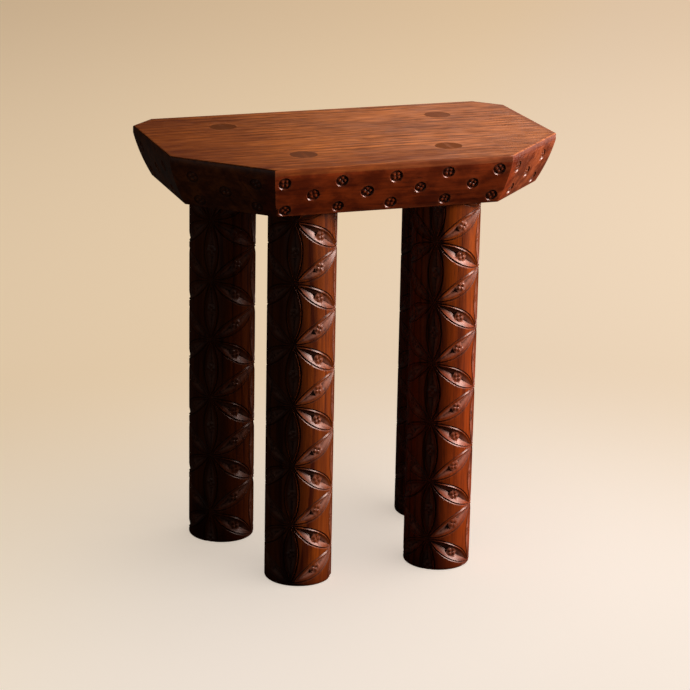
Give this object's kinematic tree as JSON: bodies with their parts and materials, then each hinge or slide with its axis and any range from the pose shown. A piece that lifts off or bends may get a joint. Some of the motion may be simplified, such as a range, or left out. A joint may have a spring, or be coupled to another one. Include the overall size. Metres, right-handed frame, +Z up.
{
  "type": "four-legged plank stool",
  "caption": "Carved hardwood stool: a thick plank seat with cut corners and leaning sides on straight round legs, joined by wedged through tenons.",
  "frame": {"origin": "on the floor, below the middle of the seat plank", "axes": "+Z up, +X along the seat's length, the front with the two large corner cuts towards -Y"},
  "size_m": [0.416, 0.252, 0.45],
  "materials": {
    "seat_wood": "satin reddish-brown oiled hardwood",
    "leg_wood": "glossy dark reddish-brown varnished hardwood",
    "wedge_wood": "satin oiled hardwood"
  },
  "bodies": {
    "root": {"seat_plank": "seat_wood", "leg_front_left": "leg_wood", "leg_front_right": "leg_wood", "leg_back_left": "leg_wood", "leg_back_right": "leg_wood", "wedge_front_left": "wedge_wood", "wedge_front_right": "wedge_wood", "wedge_back_left": "wedge_wood", "wedge_back_right": "wedge_wood"}
  },
  "joints": []
}
